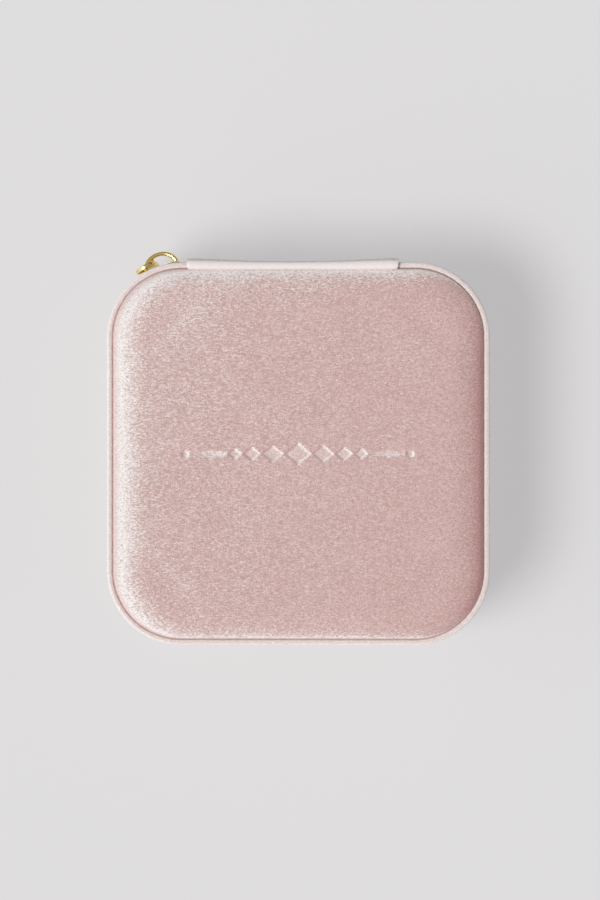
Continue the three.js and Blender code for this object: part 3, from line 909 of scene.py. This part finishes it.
def addTapes():
    # each tape is a thin woven band. The lid's rides up over the parked slider.
    first, last = zipSizes["tapeGap"] - strapEnds[0], lapLength - strapEnds[1] - zipSizes["tapeGap"]
    way = np.linspace(first, last, round((last - first) / zipSizes["step"]))
    thick = limits("hinge_lining_base")[1][1] - limits("hinge_lining_base")[0][1]
    for name, body in [("zip_tape_base", "base"), ("zip_tape_lid", "lid")]:
        low, high = limits(name)
        inset = insetOf(name)
        profile = roundedBox(-inset - thick, -inset, low[2], high[2],
                             zipSizes["tapeEdge"], zipSizes["tapeRows"])
        profile = np.repeat(profile[None], len(way), 0)
        if body == "lid":
            parked = 1 - smooth(sliderEnd - zipSizes["liftStart"], sliderEnd + zipSizes["liftLength"], way)
            clear = limits("slider_body")[1][2] + zipSizes["clear"] - low[2]
            share = (high[2] - profile[..., 1]) / (high[2] - low[2])
            profile[..., 1] += share * clear * parked[:, None]
        place(carry(f"woven_{name}", way, profile, closed=False), "zip_tape", body, [name])


def capsules(starts, ends, radius, sides, rows):
    # many short rods with round ends, as one grid each: rows run pole to pole
    length = np.linalg.norm(ends - starts, axis=1)[:, None]
    ahead = unit(ends - starts)
    aside = unit(np.cross(ahead, np.where(np.abs(ahead[:, 2:]) > 0.9, [[1.0, 0, 0]], [[0, 0, 1.0]])))
    over = np.cross(ahead, aside)
    lift = np.linspace(-math.pi / 2, math.pi / 2, rows)
    turn = np.linspace(0, 2 * math.pi, sides, endpoint=False)[:, None]
    along = length * (lift >= 0) + radius * np.sin(lift)
    spine = starts[:, None] + ahead[:, None] * along[..., None]
    ring = aside[:, None, None] * np.cos(turn) + over[:, None, None] * np.sin(turn)
    return spine[:, :, None] + ring * (radius * np.cos(lift))[:, None, None]


def rods(name, starts, ends, radius, sides=7, rows=6):
    return joined(name, [(grid, {"wrapV": True}) for grid in capsules(starts, ends, radius, sides, rows)])


def raised(way, inset, height):
    # points on the outline moved in by inset, at one height or at a height each
    return np.column_stack([outlineAt(way, inset)[0], np.broadcast_to(height, len(way))])


def addCoils():
    # each half of the zip is a row of filament loops, the lid's between the base's, and a
    # line of stitches that holds them to the tape
    inset, pitch = insetOf("zip_coil_base"), zipSizes["pitch"]
    lastWay = lapLength - strapEnds[1] - zipSizes["lastLoop"]
    for name, body, side, first in [
            ("zip_coil_base", "base", -1, zipSizes["firstLoop"] - strapEnds[0]),
            ("zip_coil_lid", "lid", 1, sliderEnd + zipSizes["lidFirst"])]:
        low, high = limits(name)
        root, far = (low[2], high[2]) if side < 0 else (high[2], low[2])
        start = math.ceil(first / pitch) + (0.0 if side < 0 else 0.5)
        way = (start + np.arange(int((lastWay - first) / pitch))) * pitch
        # up to the parked slider's end the loops aren't meshed, and stand at their full height
        unmeshed = way < sliderEnd + zipSizes["apart"]
        tip = np.where(unmeshed, far, zipHeight - side * zipSizes["meet"])
        loopIn, slant, wire = inset + zipSizes["loopIn"], side * zipSizes["slant"], zipSizes["wire"]
        loops = rods(f"loops_{name}", raised(way - slant, loopIn, root - side * wire),
                     raised(way + slant, loopIn, tip), wire)
        place(loops, "zip_coil", body, [name])
        stitchIn, reach = inset + zipSizes["stitchIn"], zipSizes["stitchHalf"]
        level = root + side * zipSizes["stitchUp"]
        stitches = rods(f"stitches_{body}_zip", raised(way - reach, stitchIn, level),
                        raised(way + reach, stitchIn, level), zipSizes["stitch"], 6, 4)
        place(stitches, "zip_tape", body)


def addStops():
    # a gold clip pressed over the coil at each end of the zip, its ends drawn in
    along = np.array([0, 0.04, 0.1, 1 / 3, 2 / 3, 0.9, 0.96, 1])[:, None]
    size = np.array([0.7, 0.9, 1, 1, 1, 1, 0.9, 0.7])[:, None]
    for name in ("zip_top_stop", "zip_bottom_stop"):
        low, high = limits(name)
        centre = (low + high) / 2
        profile = roundedBox(low[1], high[1], low[2], high[2], zipSizes["clipEdge"])
        aside, up = (profile - centre[1:]).T
        grid = gridOf(low[0] + along * (high[0] - low[0]), centre[1] + aside * size, centre[2] + up * size)
        place(skin(f"gold_{name}", grid, wrapV=True, capped=True), "gold_metal", "base", [name])


addTapes()
addCoils()
addStops()
print("zip made")


slider = {
    "length": 9.8 * mm, "front": 6.8 * mm, "rear": 5.8 * mm, "plate": 0.75 * mm, "corner": 4.0,
    "border": 1.2 * mm, "around": 72, "proud": 0.15 * mm, "dome": 0.12 * mm, "outerEdge": 0.3 * mm,
    "backGap": 0.15 * mm, "backIn": 1.5 * mm, "backShare": 0.97, "backEdge": 0.25 * mm,
    "barEdge": 0.2 * mm, "rimHalf": 0.27 * mm, "rimIn": 0.33 * mm, "rimDeep": 0.75 * mm,
    "rimSunk": 0.3 * mm, "rimShare": 0.36, "postHalf": 0.5 * mm, "postSunk": 0.2 * mm,
    "postFrom": 2.25 * mm, "postTo": 4.1 * mm,
}
bail = {"length": 9.5 * mm, "rise": 4.0 * mm, "sunk": 0.2 * mm, "bar": 1.2 * mm, "deep": 1.5 * mm,
        "square": 0.8, "footSize": 1.12, "slims": 0.2, "stations": 49, "around": 20}
tab = {
    "twist": math.radians(16), "thick": 1.2 * mm, "head": 5.9 * mm, "hole": 4.3 * mm, "slack": 0.45 * mm,
    "waist": 1.95 * mm, "waistDown": 2.6 * mm, "headFrom": -0.75, "tip": 5.9 * mm, "tipLift": 6 * mm,
    "length": 20 * mm, "edge": 0.28 * mm, "border": 0.62 * mm, "holeBorder": 0.372 * mm,
    "slope": 0.15 * mm, "sunk": 0.13 * mm, "sunkFrom": 0.85 * mm, "sunkOver": 1.2 * mm, "around": 150,
}
outerFace = cornerRadius + slider["proud"]      # how far out the slider's outer plate begins
pullPlace, pullAxis = jointSetting("pull_swing")
tabAngle = math.atan2(-pullAxis[0], pullAxis[1])
sliderAngle = tabAngle - tab["twist"]


def turned(points, centre, angle):
    # points given as (along the zip, outwards, up), turned about +Z and moved to their place
    c, s = math.cos(angle), math.sin(angle)
    along, out, up = np.moveaxis(points, -1, 0)
    return np.stack([centre[0] + along * c - out * s, centre[1] + along * s + out * c, centre[2] + up], -1)


def softPlate(length, low, high, dome, edge):
    # a slider plate: its outline is a superellipse that narrows to the rear, its edge is a
    # quarter circle, and its outer face swells a little in the middle
    front, rear = slider["front"], slider["rear"]
    angle = np.linspace(0, 2 * math.pi, slider["around"], endpoint=False)
    c, s = (squared(wave, 2 / slider["corner"]) for wave in (np.cos(angle), np.sin(angle)))
    away, rise = roundOver(edge, 5)
    inward = np.concatenate([[half, slider["border"]], away, rise, [slider["border"], half]])
    level = np.concatenate([[low, low], low + rise, high - away, [high, high]])
    reachX, reachW = length / 2, (front + rear) / 4
    shrink = np.clip(1 - inward / reachW, 0, 1)
    taper = 1 + (front - rear) / (front + rear) * c
    along = reachX * c[:, None] * shrink
    up = reachW * (s * taper)[:, None] * shrink
    swell = np.clip(1 - (along / reachX) ** 2 - (up / reachW) ** 2, 0, 1)
    return np.stack([along, level + dome * (level > (low + high) / 2) * swell, up], -1)


def straightBar(low, high, middle, halfWide, ways):
    # a bar with rounded edges that runs along the zip, low and high being distances outwards
    section = roundedBox(low, high, middle - halfWide, middle + halfWide, slider["barEdge"])
    return gridOf(ways[:, None], section[:, 0], section[:, 1])


def addSlider():
    # a plate outside and one inside the zip, the outer one with a rim down each of its long
    # sides, and the post between them
    length, thick = slider["length"], slider["plate"]
    back = math.sqrt((cornerRadius - slider["backIn"]) ** 2 - (length / 2) ** 2) - slider["backGap"]
    outer = softPlate(length, outerFace, outerFace + thick, slider["dome"], slider["outerEdge"])
    inner = softPlate(length * slider["backShare"], back - thick, back, 0.0, slider["backEdge"])
    rimAt = slider["rear"] / 2 - slider["rimIn"]
    rimWays = np.linspace(-1, 1, 9) * length * slider["rimShare"]
    rims = [straightBar(outerFace - slider["rimDeep"], outerFace + slider["rimSunk"], side * rimAt,
                        slider["rimHalf"], rimWays) for side in (-1, 1)]
    post = straightBar(back - slider["postSunk"], outerFace + slider["postSunk"], 0, slider["postHalf"],
                       np.linspace(slider["postFrom"], slider["postTo"], 5))
    parts = [(grid, {"wrapU": True}) for grid in (outer, inner)]
    parts += [(grid, {"wrapV": True, "capped": True}) for grid in (*rims, post)]
    parts = [(turned(grid, arcCentre, sliderAngle), closing) for grid, closing in parts]
    place(joined("gold_slider", parts), "gold_metal", "zip_slider", ["slider_body"])


def addBail():
    # half an ellipse of flat bar with rounded edges, its two feet set into the plate. The bar
    # is thickest at its feet and slims towards the top of the arch
    foot = outerFace + slider["plate"] - bail["sunk"]
    angle = np.linspace(0, math.pi, bail["stations"])
    spine = np.stack([(bail["length"] - bail["bar"]) / 2 * np.cos(angle),
                      foot + (bail["rise"] - bail["bar"] / 2) * np.sin(angle)], -1)
    ahead = unit(np.gradient(spine, axis=0))
    turn = np.linspace(0, 2 * math.pi, bail["around"], endpoint=False)
    size = (bail["footSize"] - bail["slims"] * np.sin(angle))[:, None]
    thick = bail["bar"] / 2 * squared(np.cos(turn), bail["square"]) * size
    deep = bail["deep"] / 2 * squared(np.sin(turn), bail["square"]) * size
    grid = gridOf(spine[:, :1] + ahead[:, 1:] * thick, spine[:, 1:] - ahead[:, :1] * thick, deep)
    piece = skin("gold_bail", turned(grid, arcCentre, sliderAngle), wrapV=True, capped=True)
    place(piece, "gold_metal", "zip_slider", ["slider_bail"])


def arcPoints(radius, height, start, end, count):
    turn = np.linspace(start, end, count)
    return np.stack([radius * np.cos(turn), height + radius * np.sin(turn)], -1)


def tabOutline():
    # the tab's edge, from straight below the hole and round: a round tip, a waist, a round head
    tip = arcPoints(tab["tip"] / 2, tab["tip"] / 2 - tab["length"], -math.pi / 2, 0, 20)
    head = arcPoints(tab["head"] / 2, -tab["slack"], tab["headFrom"], math.pi / 2, 26)
    lift = tip[-1] + [0, tab["tipLift"]]
    waist = np.array([tab["waist"], head[0, 1] - tab["waistDown"]])
    t = np.linspace(0, 1, 40)[1:-1, None]
    pulled = 3 * t * (1 - t) ** 2 * lift + 3 * t ** 2 * (1 - t) * waist
    flank = (1 - t) ** 3 * tip[-1] + pulled + t ** 3 * head[0]
    right = np.concatenate([tip, flank, head])
    loop = np.concatenate([right, right[-2::-1] * [-1, 1]])
    return pointsAlong(loop, np.linspace(0, lengthsAlong(loop)[-1], tab["around"], endpoint=False))


def addTab():
    # a flat pull with a hole: the surface runs from the hole's edge to the outer edge and
    # back underneath, both edges are rounded, and the face is sunk inside a narrow border
    outer = tabOutline()
    centre = np.array([0, -tab["slack"]])
    ray = unit(outer - centre)
    inner = centre + ray * tab["hole"] / 2
    span = np.linalg.norm(outer - inner, axis=1)[:, None]
    edge, deep, border, holeBorder = tab["edge"], tab["thick"] / 2, tab["border"], tab["holeBorder"]
    away, rise = roundOver(edge, 4)
    rounded = list(zip(rise, deep - away))
    # distances in from an edge and heights there, for the outer edge and then for the hole's
    fromOuter = rounded + [(border, deep), (border + tab["slope"], deep - tab["sunk"])]
    fromHole = [(holeBorder + tab["slope"], deep - tab["sunk"]), (holeBorder, deep)] + rounded[::-1]
    room = np.clip((span - tab["sunkFrom"]) / tab["sunkOver"], 0, 1)
    rows, levels = [], []
    for start, way, steps in [(outer, -ray, fromOuter), (inner, ray, fromHole)]:
        for distance, level in steps:
            # the two edges' rows stop just short of halfway, so they never cross
            distance = np.minimum(distance, span * 0.49)
            rows.append(start + way * distance)
            share = room if distance.max() > edge else 1
            levels.append(np.broadcast_to(deep - (deep - level) * share, span.shape))
    plan = np.stack(rows + rows[::-1], 1)
    level = np.concatenate(levels + [-level for level in levels[::-1]], 1)
    grid = np.stack([plan[..., 0], level, plan[..., 1]], -1)
    piece = skin("gold_pull_tab", turned(grid, pullPlace, tabAngle), wrapU=True, wrapV=True)
    place(piece, "gold_metal", "pull", ["pull_tab"])


addSlider()
addBail()
addTab()
print("slider, bail and pull made")


roll = {
    "endRound": 3.2 * mm, "endPower": 2.4, "endLow": 0.25, "power": 2.3, "gap": 0.1 * mm,
    "dimple": 0.35 * mm, "dimpleLength": 5.2 * mm, "dimpleFrom": 0.55, "dimpleShift": 1.7,
    "ripple": 0.12 * mm, "rippleSize": 4 * mm, "alongStep": 0.7 * mm, "around": 56,
    "clear": 0.2 * mm, "skin": 0.9 * mm,
}


def rollGrid(number, within):
    # a roll's height is a superellipse across it, lower at its two ends; the end rolls narrow
    # where the case's corners are round, and faint tucks run across. within moves the whole
    # surface inwards, for the foam under the fabric
    low, high = limits(f"ring_roll_cover_{number}")
    x = np.linspace(low[0] + within, high[0] - within, round((high[0] - low[0]) / roll["alongStep"]))
    wide = half - insetOf("floor_pad") - roll["clear"]
    corner = wide - (half - cornerRadius)
    overX = np.maximum(np.abs(x) - (wide - corner), 0)
    wall = wide - corner + np.sqrt(np.maximum(corner ** 2 - overX ** 2, 0))
    wall = np.where(x > 0, wide, wall)
    back = np.minimum(high[1] + roll["gap"], wall) - within
    front = np.maximum(low[1] - roll["gap"], -wall) + within
    across = -np.cos(np.linspace(0, math.pi, roll["around"]))
    rise = (1 - np.abs(across) ** roll["power"]) ** (1 / roll["power"])
    fromEnd = np.clip(np.minimum(x - x[0], x[-1] - x) / roll["endRound"], 0, 1)
    ends = (1 - (1 - fromEnd) ** roll["endPower"]) ** (1 / roll["endPower"])
    tall = high[2] - low[2]
    tucks = smooth(roll["dimpleFrom"], 1, np.sin(x / roll["dimpleLength"] + number * roll["dimpleShift"]))
    top = (tall - 2 * within) * (roll["endLow"] + (1 - roll["endLow"]) * ends)
    top = top * (1 - roll["dimple"] / tall * tucks)
    y = (back + front)[:, None] / 2 + (back - front)[:, None] / 2 * across
    wave = roll["ripple"] * ripple(x[:, None], y, roll["rippleSize"], number)
    over = gridOf(x[:, None], y, low[2] + within + (top[:, None] + wave) * rise)
    under = over[:, -2:0:-3].copy()
    under[..., 2] = low[2] + within
    return np.concatenate([over, under], 1)


def addRingRolls():
    rollCount = sum(name.startswith("ring_roll_cover") for name in frame["nodes"])
    for number in range(1, rollCount + 1):
        cover = skin(f"padded_ring_roll_{number}", rollGrid(number, 0.0), wrapV=True, capped=True)
        place(cover, "lining_velvet", "base", [f"ring_roll_cover_{number}"], fill=0.7)
        core = skin(f"foam_roll_{number}", rollGrid(number, roll["skin"]), wrapV=True, capped=True)
        place(core, "foam", "base", [f"ring_roll_core_{number}"])


floorPad = {"edge": 0.55 * mm, "rows": 5, "flat": [30 * mm, 20 * mm, 10 * mm, 4 * mm],
            "foot": 0.1 * mm, "under": 0.3 * mm, "stations": 240}


def addFloorPad():
    low, high = limits("floor_pad")
    inset = insetOf("floor_pad")
    inward, rise = roundOver(floorPad["edge"], floorPad["rows"])
    rings = [half - inset, *floorPad["flat"], *rise[::-1], 0.0, floorPad["under"], half - inset]
    heights = [high[2]] * (1 + len(floorPad["flat"])) + [*(high[2] - inward[::-1])]
    heights += [low[2] + floorPad["foot"], low[2], low[2]]
    grid = plate(inset + np.array(rings), heights, floorPad["stations"])
    place(skin("padded_floor", grid, wrapU=True), "lining_velvet", "base", ["floor_pad"], fill=0.3)


lining = {"thick": 0.6 * mm, "edge": 0.28 * mm, "rows": 14, "ripple": 0.05 * mm, "rippleSize": 5 * mm,
          "step": 1.0 * mm}


def addLining(name, body):
    # the side walls' lining: a thin band whose free edge is folded over
    low, high = limits(name)
    inset = insetOf(name)
    way = wayRound(lining["step"])
    profile = roundedBox(-inset - lining["thick"], -inset, low[2], high[2], lining["edge"], lining["rows"])
    profile = np.repeat(profile[None], len(way), 0)
    wave = lining["ripple"] * ripple(way[:, None], profile[..., 1], lining["rippleSize"], 7.0)
    profile[..., 0] += wave * (profile[..., 0] < -inset - lining["thick"] / 2)
    place(carry(f"velvet_{name}", way, profile), "lining_velvet", body, [name])


divider = {"edge": 0.95 * mm, "rows": 12, "sunk": 2 * mm, "ripple": 0.05 * mm, "rippleSize": 5 * mm,
           "topRippleSize": 6 * mm, "step": 1.4 * mm}


def addDivider(name):
    # a board wrapped in velvet: its long top edge is rounded over, and its ends are square
    low, high = limits(name)
    along = 1 if high[1] - low[1] > high[0] - low[0] else 0
    across = 1 - along
    profile = roundedBox(low[across], high[across], low[2] - divider["sunk"], high[2],
                         divider["edge"], divider["rows"])
    profile[:, 1] = np.maximum(profile[:, 1], low[2])
    way = np.linspace(low[along], high[along], round((high[along] - low[along]) / divider["step"]))[:, None]
    side, up = np.sign(profile[:, 0] - (low[across] + high[across]) / 2), profile[:, 1]
    wave = divider["ripple"] * ripple(way, up, divider["rippleSize"], low[0] * 40)
    topWave = divider["ripple"] / 2 * ripple(way, 0, divider["topRippleSize"], 2.0)
    grid = np.empty((len(way), len(profile), 3))
    grid[..., along] = way
    grid[..., across] = profile[:, 0] + side * wave
    grid[..., 2] = up + topWave * (up > high[2] - divider["edge"])
    place(skin(f"velvet_{name}", grid, wrapV=True, capped=True), "lining_velvet", "base", [name])


addRingRolls()
addFloorPad()
addLining("base_lining", "base")
for dividerName in ("centre_divider", "cross_divider_1", "cross_divider_2"):
    addDivider(dividerName)
print("inside of the base made")


surround = {"puff": 0.15 * mm, "fullness": 0.55, "rows": 15, "window": 2 * mm, "outerLap": 0.05 * mm,
            "overGlass": 0.15 * mm, "mirrorLap": 0.3 * mm, "tuck": 0.12 * mm, "tuckSize": 3 * mm,
            "step": 0.9 * mm}


def addMirrorSurround():
    # a padded frame round the mirror: its face swells between its outer seam and the window
    low, high = limits("mirror_surround")
    seam = -insetOf("mirror_surround") - surround["outerLap"]
    window = -insetOf("mirror") - surround["window"]
    behind = surround["mirrorLap"] - insetOf("mirror")
    way = wayRound(surround["step"])
    t = np.linspace(0, math.pi, surround["rows"])
    out = seam + (window - seam) * (1 - np.cos(t)) / 2
    rise = np.sin(t) ** surround["fullness"]
    bottom = limits("mirror")[0][2] - surround["overGlass"]
    face = np.stack([out, bottom - (bottom - low[2] + surround["puff"]) * rise], -1)
    back = [(behind, bottom), (behind, high[2]), (seam, high[2])]
    profile = np.repeat(np.concatenate([face, back])[None], len(way), 0)
    tucks = ripple(way[:, None], out, surround["tuckSize"], 5.0) * rise
    profile[:, :len(face), 1] += surround["tuck"] * tucks
    piece = carry("padded_mirror_surround", way, profile)
    place(piece, "lining_velvet", "lid", ["mirror_surround"], fill=0.6)


glass = {"flat": [20 * mm, 8 * mm], "bevel": 3.4 * mm, "bevelDeep": 0.35 * mm, "edge": 0.2 * mm,
         "drawIn": 3.5 * mm, "stations": 320}


def addMirror():
    # silvered glass with a narrow bevel ground round its face
    low, high = limits("mirror")
    inset, edge, bevelled = insetOf("mirror"), glass["edge"], low[2] + glass["bevelDeep"]
    rings = [half - inset, *glass["flat"], glass["bevel"], edge, 0.0, 0.0, edge, half - inset]
    heights = [low[2]] * 4 + [bevelled, bevelled + edge, high[2] - edge, high[2], high[2]]
    grid = plate(inset + np.array(rings), heights, glass["stations"], drawIn=glass["drawIn"])
    piece = skin("bevelled_mirror", grid, wrapU=True)
    for polygon in piece.data.polygons:
        polygon.use_smooth = False
    place(piece, "mirror_glass", "lid", ["mirror"])


addLining("lid_lining", "lid")
addMirrorSurround()
addMirror()
print("inside of the lid made")
